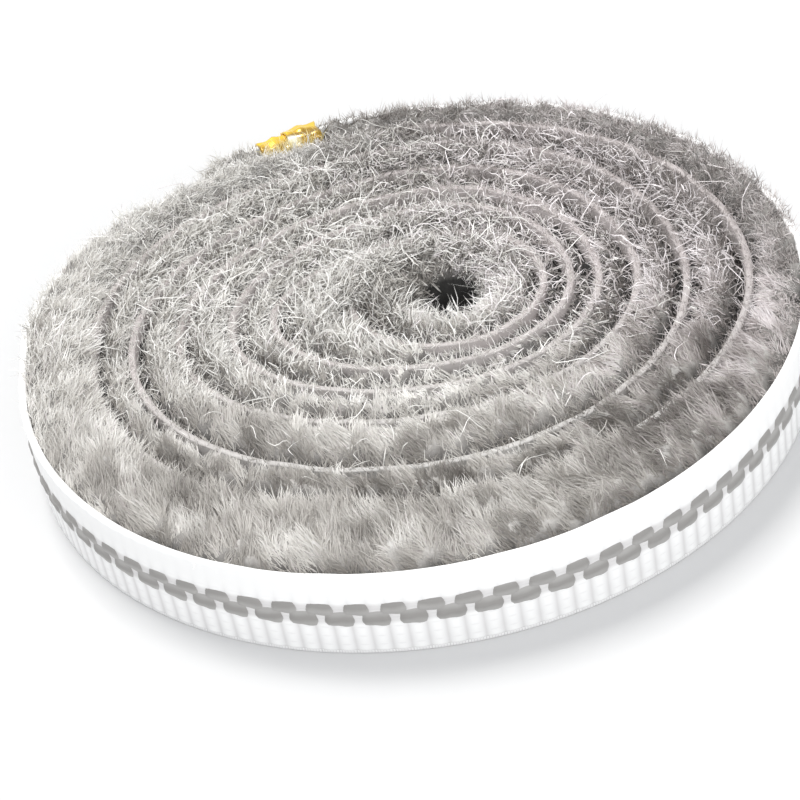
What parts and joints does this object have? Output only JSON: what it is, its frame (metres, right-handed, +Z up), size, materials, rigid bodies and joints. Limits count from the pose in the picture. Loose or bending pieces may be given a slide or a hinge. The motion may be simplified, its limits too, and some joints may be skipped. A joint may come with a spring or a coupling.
{
  "type": "self-adhesive pile weatherstrip roll",
  "caption": "Flat hand-wound roll of pile weatherstrip: white woven backing tape outside, grey brush pile facing in, open bore, held by a gold foil twist tie.",
  "frame": {"origin": "on the bore's axis, at the floor that the roll lies on", "axes": "+Z up along the bore, +Y to the back of the roll where the tie is, +X to its right"},
  "size_m": [0.0796, 0.0815, 0.0101],
  "materials": {
    "backing": "tightly woven white polypropylene ribbon with two rows of grey pile stitches on its back",
    "pile": "dense light grey cut pile of fine polypropylene yarn",
    "foil": "shiny gold metallised film over a thin wire"
  },
  "bodies": {
    "root": {"backing_tape": "backing", "pile": "pile", "twist_tie": "foil"}
  },
  "joints": []
}
